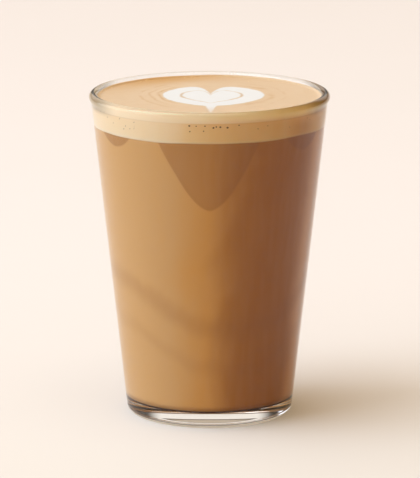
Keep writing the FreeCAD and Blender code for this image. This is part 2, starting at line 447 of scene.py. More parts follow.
def new_group(name: str, outputs: dict[str, str], **inputs: float | Colour) -> tuple:
    """Makes an empty shader node group with a Place and other named inputs.

    Args:
        name: The group's name.
        outputs: Socket kind for each output.
        inputs: The number or colour that each further input starts from.

    Returns:
        The desk, the group's inputs as sockets to read, and its output node.
    """
    tree = bpy.data.node_groups.new(name, "ShaderNodeTree")
    make = tree.interface.new_socket
    make("Place", in_out="INPUT", socket_type="NodeSocketVector")
    for label, value in inputs.items():
        coloured = isinstance(value, tuple)
        kind = "NodeSocketColor" if coloured else "NodeSocketFloat"
        socket = make(label, in_out="INPUT", socket_type=kind)
        socket.default_value = (*value, 1.0) if coloured else value
    for label, kind in outputs.items():
        make(label, in_out="OUTPUT", socket_type="NodeSocket" + kind)
    desk = Desk(tree)
    return desk, desk.add("NodeGroupInput").outputs, desk.add("NodeGroupOutput")


def new_material(name: str) -> tuple:
    """Makes a material with a Principled BSDF wired to its output.

    Args:
        name: The material's name.

    Returns:
        The material, its desk, the shader and the output node.
    """
    material = bpy.data.materials.new(name)
    material.use_nodes = True
    desk = Desk(material.node_tree)
    shader = desk.add("BsdfPrincipled")
    output = desk.feed(desk.add("OutputMaterial"), Surface=shader.outputs[0])
    return material, desk, shader, output


@dataclass(frozen=True)
class GrainGroup:
    """Fine foam grain, used by the crema and by the milk foam."""

    bubble_size: float = 0.28
    cloud_size: float = 3.5

    def build(self) -> bpy.types.NodeTree:
        """Wires the group.

        Shade is a cloudy noise plus a share of the bubble grain; Height is the
        distance to the nearest of many scattered bubble centres.

        Returns:
            The group, with outputs Shade and Height.
        """
        kinds = {"Shade": "Float", "Height": "Float"}
        desk, inlet, outlet = new_group("foam_grain", kinds, Grain=0.3)
        spot = inlet["Place"]
        cloud = desk.noise(spot, 1 / (self.cloud_size * MM), 4.0)
        bubbles = desk.add("TexVoronoi")
        desk.feed(bubbles, Vector=spot, Scale=1 / (self.bubble_size * MM))
        cells = bubbles.outputs["Distance"]
        shade = desk.plus(cloud, desk.times(cells, inlet["Grain"]))
        desk.feed(outlet, Shade=shade, Height=cells)
        return desk.tree


@dataclass(frozen=True)
class Line:
    """A soft line where a field has a value: that value, half width and strength."""

    centre: float
    half: float
    strength: float

    def draw(self, desk: Desk, value: Socket) -> Socket:
        """Wires the line's hump over the field."""
        return desk.band(value, self.centre, self.half, self.strength)


@dataclass(frozen=True)
class PourGroup:
    """The poured surface: milk in crema, with its swirl lines and painted shade by the wall."""

    edge: float = 0.5
    edge_sway: float = 1.1
    line_sway: Span = (1.2, 3.6)
    tan_share: Span = (0.14, 0.04)
    tan: Colour = linear(181, 148, 109)
    pale: Colour = linear(205, 190, 170)
    # Painted shade of the crema near the wall at the back left.
    amber: Colour = linear(184, 145, 94)
    left_lines: tuple[Line, ...] = (
        Line(-1.6, 0.7, 0.75),
        Line(-4.4, 0.8, 0.5),
        Line(-7.8, 0.9, 0.45),
    )
    right_lines: tuple[Line, ...] = (Line(-2.6, 1.9, 0.7), Line(-7.4, 0.9, 0.35))
    pale_line: Line = Line(-3.0, 0.9, 0.5)

    def build(self) -> bpy.types.NodeTree:
        """Wires the group.

        The milk's share is a smooth step over the signed distance into the milk,
        set off a little by noise. The same distance, measured outside the milk,
        lays thin tan lines beside the left flank and a wider tan crescent beside
        the right one; a patchy noise breaks them up. A painted orange-brown shade
        replaces crema near the wall at the back left, and a cloudy tan tones both.

        Returns:
            The group, with output Colour.
        """
        desk, inlet, outlet = new_group(
            "poured_surface", {"Colour": "Color"}, Shade=0.5, Crema=BLACK, Milk=BLACK
        )
        spot = inlet["Place"]
        fine, wide = desk.noise(spot, 420.0, 4.0), desk.noise(spot, 90.0, 3.0)
        depth = desk.attribute("milk_depth")
        milk = desk.step(desk.sway(depth, fine, self.edge_sway), -self.edge, self.edge)
        away = desk.sway(desk.sway(depth, fine, self.line_sway[0]), wide, self.line_sway[1])
        left_flank = desk.attribute("left_flank")
        left = desk.plus(*(line.draw(desk, away) for line in self.left_lines))
        right = desk.plus(*(line.draw(desk, away) for line in self.right_lines))
        lines = desk.plus(
            desk.times(left, left_flank), desk.times(right, desk.attribute("right_flank"))
        )
        patchy = desk.step(desk.noise(spot, 160.0, 2.0), 0.3, 0.62)
        tone = desk.step(inlet["Shade"], 0.25, 0.85)
        body = desk.lay(
            inlet["Crema"],
            (desk.times(lines, patchy), self.tan),
            (desk.times(self.pale_line.draw(desk, away), left_flank), self.pale),
            # Painted shade near the wall at the back left.
            (desk.attribute("amber"), self.amber),
            (desk.times(tone, self.tan_share[0]), self.tan),
        )
        white = desk.mix(desk.times(tone, self.tan_share[1]), inlet["Milk"], self.tan)
        solid = desk.times(milk, desk.attribute("milk_strength"))
        desk.feed(outlet, Colour=desk.mix(solid, body, white))
        return desk.tree


@dataclass(frozen=True)
class StreakGroup:
    """Soft upright streaks, used where drink and foam lie on the glass."""

    width: float = 2.4
    length: float = 34.0
    cloud_squeeze: float = 0.55

    def build(self) -> bpy.types.NodeTree:
        """Wires the group: noise fields read at a place that is drawn out along Z.

        Returns:
            The group, with outputs Streak and Cloud.
        """
        kinds = {"Streak": "Float", "Cloud": "Float"}
        desk, inlet, outlet = new_group("upright_streaks", kinds)
        drawn = []
        for squeeze in (self.width / self.length, self.cloud_squeeze):
            mapping = desk.feed(
                desk.add("Mapping"), Vector=inlet["Place"], Scale=(1.0, 1.0, squeeze)
            )
            drawn.append(mapping.outputs[0])
        streak = desk.noise(drawn[0], 1 / (self.width * MM), 3.0, Distortion=0.4)
        cloud = desk.noise(drawn[1], 48.0, 4.0, Distortion=1.2)
        desk.feed(outlet, Streak=streak, Cloud=cloud)
        return desk.tree


# ---------------------------------------------------------------- finishes


@dataclass(frozen=True)
class GlassFinish:
    """Clear glass that lets lamps through, so that the drink is lit evenly."""

    tint: Colour = (0.985, 0.992, 0.988)
    # Painted dark crescents on the bead's flanks, where they are seen edge-on.
    grazing: Colour = (0.16, 0.13, 0.08)
    bead: Span = (107.5 * MM, 109.5 * MM)
    flank: Span = (31.0 * MM, 39.0 * MM)
    flank_share: float = 0.9
    facing: Span = (0.12, 0.5)
    ior: float = 1.5

    def material(self) -> bpy.types.Material:
        """Makes clear glass that is plain transparent to shadow and diffuse rays.

        Round the rim's bead a painted dark tint deepens where the surface is seen
        edge-on on the flanks: painted dark crescents, for the dark surroundings that
        the rounded glass shows there.

        Returns:
            The material.
        """
        material, desk, shader, output = new_material("clear_glass")
        spot = desk.axes(desk.object_place())
        facing = desk.feed(desk.add("LayerWeight"), Blend=0.5).outputs["Facing"]
        side = desk.math("ABSOLUTE", spot["X"])
        # Painted dark crescents: seen edge-on, on the bead, on the flanks.
        edge = desk.times(
            desk.step(facing, *self.facing),
            desk.step(spot["Z"], *self.bead),
            desk.step(side, *self.flank, self.flank_share),
        )
        desk.feed(
            shader,
            Base_Color=desk.mix(edge, self.tint, self.grazing),
            Roughness=0.0,
            IOR=self.ior,
            Transmission_Weight=1.0,
        )
        paths = desk.add("LightPath").outputs
        lamp = desk.math("MAXIMUM", paths["Is Shadow Ray"], paths["Is Diffuse Ray"])
        clear = desk.feed(desk.add("BsdfTransparent"), Color=self.tint)
        blend = desk.add("MixShader")
        desk.wire(blend.inputs, (lamp, shader.outputs[0], clear.outputs[0]))
        desk.feed(output, Surface=blend.outputs[0])
        return material


@dataclass(frozen=True)
class CoffeeFinish:
    """Milky coffee against the glass: darker tongues, soft marbling, and painted light and shade.
    """

    # Painted light and shade: the lit left flank's tone, which the streaks share, the body, and
    # the shaded right flank.
    light: Colour = linear(211, 168, 113)
    body: Colour = linear(217, 160, 78)
    dark: Colour = linear(176, 113, 8)
    tongue: Colour = linear(149, 89, 18)
    # Painted shade of the underside's outer part and lowest edge.
    under: Colour = linear(70, 32, 12)
    # Painted glow of the underside's middle: its tone and strength.
    under_light: Colour = linear(240, 226, 204)
    caught: float = 0.5
    edge: float = 0.4
    tongue_share: float = 0.48
    tongue_sway: float = 1.3
    drift_sway: float = 0.9
    settled_sway: float = 9.0
    settled_lines: tuple[Line, ...] = (Line(0.0, 6.5, 0.22), Line(15.0, 5.0, 0.11))
    streak_share: float = 0.10

    def material(self, streaks: bpy.types.NodeTree) -> bpy.types.Material:
        """Mixes the drink's tones by the fields stored on its points.

        Painted shade leads from the lit left flank over the body to the shaded right
        flank. A tongue field lays the hanging tongues over it. Two curved darker bands
        follow the settled field. The outer part of the underside and the lowest edge
        get painted shade, the darkest; the underside's middle is pale and glows
        faintly, a painted glow for the light that a thick foot gathers there.

        Args:
            streaks: The group of upright streaks.

        Returns:
            The material.
        """
        material, desk, shader, _ = new_material("milky_coffee")
        soft = desk.use(streaks)
        # Painted side shade: the left flank lit, the right flank shaded.
        drift = desk.sway(desk.attribute("drift"), soft["Cloud"], self.drift_sway)
        inside = desk.sway(desk.attribute("tongue"), soft["Cloud"], self.tongue_sway)
        settled = desk.sway(desk.attribute("settled"), soft["Cloud"], self.settled_sway)
        smile = desk.plus(*(line.draw(desk, settled) for line in self.settled_lines))
        # Painted glow in the underside's middle, for light that the foot gathers.
        caught = desk.attribute("under_light")
        colour = desk.lay(
            self.light,
            # Painted light and shade from the lit left flank over the body to the shaded right
            # flank.
            (desk.step(drift, -1.0, 0.1), self.body),
            (desk.step(drift, 0.0, 1.0), self.dark),
            (desk.step(inside, -self.edge, self.edge, self.tongue_share), self.tongue),
            (smile, self.tongue),
            (desk.step(soft["Streak"], 0.3, 0.75, self.streak_share), self.light),
            # Painted shade on the underside's outer part and lowest edge.
            (desk.attribute("under"), self.under),
            # Painted glow: pale tone in the underside's middle.
            (caught, self.under_light),
        )
        desk.feed(
            shader,
            Base_Color=colour,
            Roughness=0.6,
            Specular_IOR_Level=0.0,
            # Painted glow: the underside's middle gives off light though it is no lamp.
            Emission_Color=self.under_light,
            Emission_Strength=desk.times(caught, self.caught),
        )
        return material


@dataclass(frozen=True)
class CremaFinish:
    """Tan microfoam: the drink's surface and the layer along the wall."""

    crema: Colour = linear(199, 180, 157)
    milk: Colour = linear(214, 223, 235)
    side: Colour = linear(249, 210, 146)
    # Pale tone of the side's cloudy streaks, and of its painted light on the collar and the left
    # flank.
    side_light: Colour = linear(254, 233, 208)
    # Painted dark reflection on the side's front right.
    side_dark: Colour = linear(186, 130, 72)
    ring: Colour = linear(92, 66, 40)
    grain: float = 0.25
    relief: float = 0.06 * MM

    def surface(self, desk: Desk, pour: bpy.types.NodeTree, grain: bpy.types.NodeTree) -> tuple:
        """Wires the poured surface's colour and relief.

        Args:
            desk: The material's desk.
            pour: The group of the poured surface.
            grain: The group of the foam's grain.

        Returns:
            The colour's socket and the normal's socket.
        """
        fine = desk.use(grain, Grain=self.grain)
        poured = desk.use(pour, Shade=fine["Shade"], Crema=self.crema, Milk=self.milk)
        bump = desk.add("Bump")
        desk.feed(bump, Strength=0.25, Distance=self.relief, Height=fine["Height"])
        return poured["Colour"], bump.outputs["Normal"]

    def material(
        self,
        pour: bpy.types.NodeTree,
        grain: bpy.types.NodeTree,
        streaks: bpy.types.NodeTree,
    ) -> bpy.types.Material:
        """Mixes the surface's look with that of the layer along the wall.

        Args:
            pour: The group of the poured surface.
            grain: The group of the foam's grain.
            streaks: The group of upright streaks.

        Returns:
            The material.
        """
        material, desk, shader, _ = new_material("crema_foam")
        top, normal = self.surface(desk, pour, grain)
        side = desk.lay(
            self.side,
            (desk.step(desk.use(streaks)["Cloud"], 0.3, 0.75, 0.5), self.side_light),
            # Painted dark reflection low at the front right.
            (desk.attribute("side_dark"), self.side_dark),
            # Painted light on the collar and the left flank.
            (desk.attribute("side_light"), self.side_light),
            (desk.attribute("dark_ring"), self.ring),
        )
        desk.feed(
            shader,
            Base_Color=desk.mix(desk.attribute("on_wall"), top, side),
            Roughness=0.55,
            Specular_IOR_Level=0.25,
            Normal=normal,
            Subsurface_Weight=0.7,
            Subsurface_Radius=(1.0, 0.9, 0.82),
            Subsurface_Scale=1.6 * MM,
        )
        return material


@dataclass(frozen=True)
class MilkFinish:
    """White milk foam, which takes the crema's tan at its very edge."""

    crema: CremaFinish

    def material(
        self, pour: bpy.types.NodeTree, grain: bpy.types.NodeTree
    ) -> bpy.types.Material:
        """Makes the poured surface's look a little glossier.

        Args:
            pour: The group of the poured surface.
            grain: The group of the foam's grain.

        Returns:
            The material.
        """
        material, desk, shader, _ = new_material("milk_foam")
        colour, normal = self.crema.surface(desk, pour, grain)
        desk.feed(
            shader, Base_Color=colour, Roughness=0.48, Specular_IOR_Level=0.3, Normal=normal
        )
        return material


@dataclass(frozen=True)
class BubbleFinish:
    """Bubbles: dark where they lie on the glass, pale and glossy on the surface."""

    name: str
    colour: Colour
    rim: Colour
    roughness: float
    gloss: float

    def material(self) -> bpy.types.Material:
        """Mixes two tones by a fine noise and sets the gloss.

        Returns:
            The material.
        """
        material, desk, shader, _ = new_material(self.name)
        shade = desk.step(desk.noise(desk.object_place(), 2600.0, 2.0), 0.35, 0.65)
        desk.feed(
            shader,
            Base_Color=desk.mix(shade, self.colour, self.rim),
            Roughness=self.roughness,
            Specular_IOR_Level=self.gloss,
        )
        return material


@dataclass(frozen=True)
class FloorFinish:
    """Pale matt table top, which throws only a little warm light back up."""

    near: Colour = (0.65, 0.665, 0.695)
    far: Colour = (0.70, 0.71, 0.775)
    bounce: Colour = (0.18, 0.108, 0.05)
    fade: Span = (-0.25, 0.35)

    def material(self) -> bpy.types.Material:
        """Fades from the near tone to the far one along +Y, in metres.

        Returns:
            The material.
        """
        material, desk, shader, _ = new_material("pale_floor")
        spot = desk.object_place()
        colour = desk.lay(
            self.near,
            (desk.step(desk.axes(spot)["Y"], *self.fade), self.far),
            (desk.step(desk.noise(spot, 9.0, 2.0), 0.3, 0.7, 0.06), self.near),
            (desk.add("LightPath").outputs["Is Diffuse Ray"], self.bounce),
        )
        desk.feed(shader, Base_Color=colour, Roughness=0.9, Specular_IOR_Level=0.05)
        return material


# ---------------------------------------------------------------- the glass


@dataclass
class Tumbler:
    """The tapered tumbler; only its height comes from the CAD box."""

    foot_radius: float = 28.5
    mouth_radius: float = 41.1
    wall_width: float = 2.6
    heel_round: float = 3.3
    foot_ring: float = 2.6
    push_up: float = 0.9
    corner_round: float = 3.0
    rim_round: float = 1.6
    rim_blend: float = 5.0
    floor: float = 5.6
    columns: int = 256
    height: float = field(init=False)

    def __post_init__(self) -> None:
        """Reads the glass's height from its CAD box."""
        self.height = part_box(Node.GLASS.value)[1].z / MM

    @property
    def rise(self) -> float:
        """How much the wall widens per height."""
        return (self.mouth_radius - self.foot_radius) / self.height

    @property
    def lean(self) -> float:
        """The wall's lean in degrees."""
        return math.degrees(math.atan(self.rise))

    @property
    def slant(self) -> float:
        """Level width of the wall line per width square to it."""
        return math.hypot(1.0, self.rise)

    def outer(self, height: float) -> float:
        """Radius of the outer wall's line at a height."""
        return self.foot_radius + self.rise * height

    def inner(self, height: float | np.ndarray) -> float | np.ndarray:
        """Radius of the inner wall's line at a height."""
        return self.foot_radius + self.rise * height - self.wall_width

    @property
    def bead(self) -> Span:
        """Centre of the rim's bead, tangent to the inner wall's line."""
        height = self.height - self.rim_round
        return self.inner(height) + self.rim_round * self.slant, height

    @property
    def corner(self) -> Span:
        """Centre of the round between the floor and the inner wall."""
        height = self.floor + self.corner_round
        return self.inner(height) - self.corner_round * self.slant, height

    @property
    def turns(self) -> np.ndarray:
        """The columns' turns in radians from the front."""
        return np.linspace(0.0, FULL_TURN, self.columns, endpoint=False)

    def blend_centre(self) -> Span:
        """Finds the hollow round between the outer wall and the bead.

        Its centre stands off the wall's line by the blend's radius and off the
        bead's centre by both radii, which gives a quadratic in the height; the
        lower root is the one under the bead.

        Returns:
            The centre as (radius, height).
        """
        bead_radius, bead_height = self.bead
        offset = self.foot_radius + self.rim_blend * self.slant - bead_radius
        reach = self.rim_blend + self.rim_round
        a = self.rise**2 + 1.0
        b = 2.0 * (self.rise * offset - bead_height)
        c = offset**2 + bead_height**2 - reach**2
        height = (-b - math.sqrt(b * b - 4.0 * a * c)) / (2.0 * a)
        return self.outer(height) + self.rim_blend * self.slant, height

    def profile(self) -> np.ndarray:
        """Draws the half section from the foot's middle round to the floor's middle.

        Returns:
            Points as (radius, height), on the axis at both ends.
        """
        ring_out = self.outer(self.heel_round) - self.heel_round * self.slant
        ring_in = ring_out - self.foot_ring
        hollow = (ring_in**2 + self.push_up**2) / (2.0 * self.push_up)
        hollow_end = math.degrees(math.acos(ring_in / hollow))
        bead, blend = self.bead, self.blend_centre()
        meet = math.degrees(math.atan2(blend[1] - bead[1], blend[0] - bead[0]))
        under = arc((0.0, self.push_up - hollow), hollow, 90.0, hollow_end, 24)
        heel = arc((ring_out, self.heel_round), self.heel_round, -90.0, -self.lean, 22)
        hip = arc(blend, self.rim_blend, 180.0 - self.lean, 180.0 + meet, 16)
        rim = arc(bead, self.rim_round, meet, 180.0 - self.lean, 40)
        heel_in = arc(self.corner, self.corner_round, -self.lean, -90.0, 22)
        return chain(
            under,
            run(under[-1], heel[0], 3),
            heel,
            run(heel[-1], hip[0], 14),
            hip,
            rim,
            run(rim[-1], heel_in[0], 14),
            heel_in,
            run(heel_in[-1], np.array([0.0, self.floor]), 14),
        )

    def build(self, finish: bpy.types.Material) -> None:
        """Makes the glass, its half section turned once round the axis.

        Args:
            finish: The glass's material.
        """
        profile = self.profile()
        rings = around(profile[1:-1, 0:1], self.turns, profile[1:-1, 1:2])
        shape = closed_grid(rings, *(on_axis(profile[end, 1]) for end in (0, -1)))
        place(make_piece("tumbler", *shape, crease=60.0), finish, Slot.GLASS, Node.GLASS)


# ---------------------------------------------------------------- the drink


@dataclass
class Drink:
    """What the glass holds: heights of its layers and where they touch the wall.

    A wave is (size, waves in a full turn, start in radians); a swell is (size,
    azimuth, spread).
    """

    glass: Tumbler
    seat: float = 0.12
    meniscus_round: float = 2.0
    meniscus_rise: float = 0.5
    waves: tuple[tuple, ...] = ((0.10, 3, 0.6), (0.07, 7, 2.1), (0.04, 13, 4.0))
    swells: tuple[tuple, ...] = ((0.35, 56.0, 11.0), (-0.25, 150.0, 16.0))
    level: float = field(init=False)
    line: float = field(init=False)
    art_floor: float = field(init=False)

    def __post_init__(self) -> None:
        """Reads the layers' heights from the CAD boxes."""
        heart_low, heart_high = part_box(Node.INNER_HEART.value)
        self.level = heart_high.z / MM
        self.art_floor = heart_low.z / MM
        self.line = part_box(Node.COFFEE.value)[1].z / MM

    def wall(self, height: np.ndarray) -> np.ndarray:
        """Radius that reaches just into the wall, or into the bead above it.

        Up to the bead's centre it is the inner wall's line plus the seat; above,
        it is the bead's inner arc with its radius less the seat.

        Args:
            height: Heights.

        Returns:
            Radii.
        """
        bead_radius, bead_height = self.glass.bead
        round_in = self.glass.rim_round - self.seat
        above = np.clip(height - bead_height, 0.0, round_in * 0.99)
        arc_radius = bead_radius - np.sqrt(round_in**2 - above**2)
        line_radius = self.glass.inner(height) + self.seat * self.glass.slant
        return np.where(height > bead_height, arc_radius, line_radius)

    @property
    def contact(self) -> Span:
        """Where the meniscus meets the bead, as (radius, height)."""
        height = self.level + self.meniscus_rise
        bead_radius, bead_height = self.glass.bead
        reach = math.sqrt(self.glass.rim_round**2 - (height - bead_height) ** 2)
        return bead_radius - reach, height

    @property
    def climb(self) -> float:
        """The meniscus's slope at the wall, in radians."""
        return math.acos(1.0 - self.meniscus_rise / self.meniscus_round)

    @property
    def spread(self) -> float:
        """How far the meniscus reaches in from the wall."""
        return self.meniscus_round * math.sin(self.climb)

    def bank(self, along: np.ndarray) -> np.ndarray:
        """Height of the meniscus's arc at a distance along it from its start."""
        return self.meniscus_round - np.sqrt(self.meniscus_round**2 - along**2)

    def uneven_line(self, azimuth: np.ndarray) -> np.ndarray:
        """Height of the border between coffee and foam: its line, waves and swells."""
        waves = sum(size * np.sin(n * np.radians(azimuth) + t) for size, n, t in self.waves)
        return self.line + waves + sum(s * bell_round(azimuth, a, w) for s, a, w in self.swells)


@dataclass
class Tongue:
    """A darker tongue of drink that hangs from the foam against the wall."""

    azimuth: float
    half_width: float
    drop: float
    blunt: float = 2.0
    cap: float = 1.6
    ease: float = 0.6

    def depth(self, azimuth: np.ndarray, below: np.ndarray) -> np.ndarray:
        """How far a place lies inside the tongue, in millimetres, negative outside.

        The tongue ends at drop times (1 - |offset / half width| ^ blunt) below the
        line, so the result is that end less how far the place is below the line,
        eased where the edge is steep.

        Args:
            azimuth: Degrees from the front.
            below: Distance below the foam's underside.

        Returns:
            The signed distance.
        """
        offset = np.abs(turn_offset(azimuth, self.azimuth)) / self.half_width
        end = self.drop * (1.0 - np.minimum(offset, self.cap) ** self.blunt)
        steep = self.drop / (self.half_width * self.ease) * self.blunt
        return (end - below) / np.hypot(1.0, steep * np.minimum(offset, 1.0))


@dataclass
class Coffee:
    """The drink below the foam, with its tongues and settled part."""

    drink: Drink
    rows: int = 150
    tongues: tuple[Tongue, ...] = (
        Tongue(0.0, 26.5, 23.5, 1.7),
        Tongue(-56.0, 11.0, 3.6),
        Tongue(56.0, 13.0, 5.0),
        Tongue(118.0, 22.0, 15.0),
        Tongue(180.0, 28.0, 21.0, 1.8),
        Tongue(-118.0, 18.0, 9.0),
    )
    settled_height: float = 35.0
    settled_rise: float = 8.5
    settled_turn: float = 0.6
    # Painted side shade: where it rises from the lit left to the shaded right, eases at the far
    # right, and fades out behind.
    drift_right: Span = (-42.0, 34.0)
    drift_far_right: Span = (50.0, 84.0)
    drift_behind: Span = (178.0, 130.0)
    # Where the underside's painted shade and painted glow lie: radius and height.
    dark_radius: Span = (19.0, 23.0)
    dark_height: Span = (0.95, 0.5)

    def build(self, finish: bpy.types.Material) -> None:
        """Makes the coffee, reaching just into the glass, in place of its node.

        Args:
            finish: The coffee's material.
        """
        drink, glass = self.drink, self.drink.glass
        bend = arc(glass.corner, glass.corner_round + drink.seat, -90.0, -glass.lean, 18)
        base = run(np.array([0.0, glass.floor - drink.seat]), bend[0], 12)
        low = np.concatenate([base[1:], bend[1:]])[:, :, None] * np.ones(glass.columns)
        end = drink.uneven_line(turn_offset(np.degrees(glass.turns), 0.0))
        share = np.linspace(0.0, 1.0, self.rows)[1:, None]
        wall_height = bend[-1, 1] + share * (end - bend[-1, 1])
        wall_radius = drink.wall(wall_height)
        cap = np.linspace(1.0, 0.0, 8)[1:-1, None]
        cap_height = drink.line + (wall_height[-1] - drink.line) * cap
        radius = np.concatenate([low[:, 0], wall_radius, wall_radius[-1] * cap])
        height = np.concatenate([low[:, 1], wall_height, cap_height])
        rings = around(radius, glass.turns, height)
        points, faces = closed_grid(rings, on_axis(base[0, 1]), on_axis(drink.line))
        piece = make_piece("coffee_body", points, faces)
        self.add_looks(piece, points)
        place(piece, finish, Slot.COFFEE, Node.COFFEE)

    def add_looks(self, piece: bpy.types.Object, points: np.ndarray) -> None:
        """Stores the tongues' depth, the marbling's curve, the painted side shade and the
        underside's painted shade and glow.

        The marbling's curve lies lowest a little right of the front and rises
        to both sides. The painted side shade goes from -1 on the lit left to 1 on the
        shaded right, eases at the far right, and fades out behind. The outer part of
        the underside and the lowest edge get painted shade, and the underside's middle
        is pale, with a painted glow.

        Args:
            piece: The coffee.
            points: Its points.
        """
        azimuth, height = azimuth_of(points), points[:, 2]
        below = self.drink.line - height
        curve = 1.0 - np.cos(2.0 * np.radians(azimuth) - self.settled_turn)
        # Painted side shade: -1 on the lit left, 1 on the shaded right.
        drift = smooth_step(*self.drift_right, azimuth) * 2.0 - 1.0
        drift = drift - 1.3 * smooth_step(*self.drift_far_right, azimuth)
        # Painted shade on the underside's outer part and lowest edge, and a painted glow in its
        # middle.
        outer = smooth_step(*self.dark_radius, np.hypot(points[:, 0], points[:, 1]))
        low = smooth_step(*(self.drink.glass.floor + up for up in self.dark_height), height)
        add_fields(
            piece,
            tongue=np.max([t.depth(azimuth, below) for t in self.tongues], axis=0),
            settled=self.settled_height + self.settled_rise * curve - height,
            drift=drift * smooth_step(*self.drift_behind, np.abs(azimuth)),
            under=outer * low,
            # Painted glow in the underside's middle.
            under_light=(1.0 - outer) * low,
        )


@dataclass(frozen=True)
class Heart:
    """A heart drawn by bearing and distance from its pole, as on the CAD sheet."""

    reach: float
    swell: float
    notch: float
    cleft: float
    chin: float
    tail: float
    point: float
    lean: float
    shift: float = 0.4
    chin_power: int = 8

    def far(self, bearing: np.ndarray, gap: Span = (0.0, 0.0)) -> np.ndarray:
        """Distance of the outline from the pole.

        Reach, plus swell times the bearing's cosine, plus a chin that grows with
        a high power towards the point, less a bell-shaped notch at the cleft,
        plus a bell-shaped tail at the point, plus a gap that grows from its thin
        value at both ends to its full value halfway.

        Args:
            bearing: Radians, 0 at the cleft and pi at the point.
            gap: The gap's thin and full values.

        Returns:
            Distances.
        """
        far = self.reach + self.swell * np.cos(bearing)
        far = far + self.chin * ((1.0 - np.cos(bearing)) / 2.0) ** self.chin_power
        far = far - self.notch * bell(bearing, 0.0, math.radians(self.cleft))
        far = far + self.tail * bell(bearing, math.pi, math.radians(self.point))
        return far + gap[0] + (gap[1] - gap[0]) * np.sin(bearing) ** 2

    def outline(
        self, bearing: np.ndarray, side: np.ndarray, gap: Span = (0.0, 0.0)
    ) -> np.ndarray:
        """Places on the outline, widened on the right and narrowed on the left.

        Args:
            bearing: Radians from the cleft.
            side: 1 on the right and -1 on the left.
            gap: The gap's thin and full values.

        Returns:
            Places of shape (n, 2).
        """
        far = self.far(bearing, gap)
        across = side * far * np.sin(bearing) * (1.0 + side * self.lean)
        return np.column_stack([self.shift + across, far * np.cos(bearing)])

    def depth(self, places: np.ndarray, gap: Span = (0.0, 0.0)) -> np.ndarray:
        """Signed distance into the outline: the nearest of many places on it.

        Args:
            places: Places of shape (n, 2).
            gap: The gap's thin and full values.

        Returns:
            Distances, negative outside.
        """
        turn = np.linspace(0.0, FULL_TURN, 500)
        bearing = (turn - np.sin(turn)) / 2.0
        edge = np.concatenate(
            [self.outline(bearing, np.full_like(bearing, side), gap) for side in (1.0, -1.0)]
        )
        near = [
            np.hypot(part[:, :1] - edge[:, 0], part[:, 1:] - edge[:, 1]).min(axis=1)
            for part in np.array_split(places, 40)
        ]
        across = places[:, 0] - self.shift
        across = np.abs(across) / (1.0 + np.sign(across) * self.lean)
        reach = self.far(np.arctan2(across, places[:, 1]), gap)
        inside = np.hypot(across, places[:, 1]) < reach
        return np.concatenate(near) * np.where(inside, 1.0, -1.0)


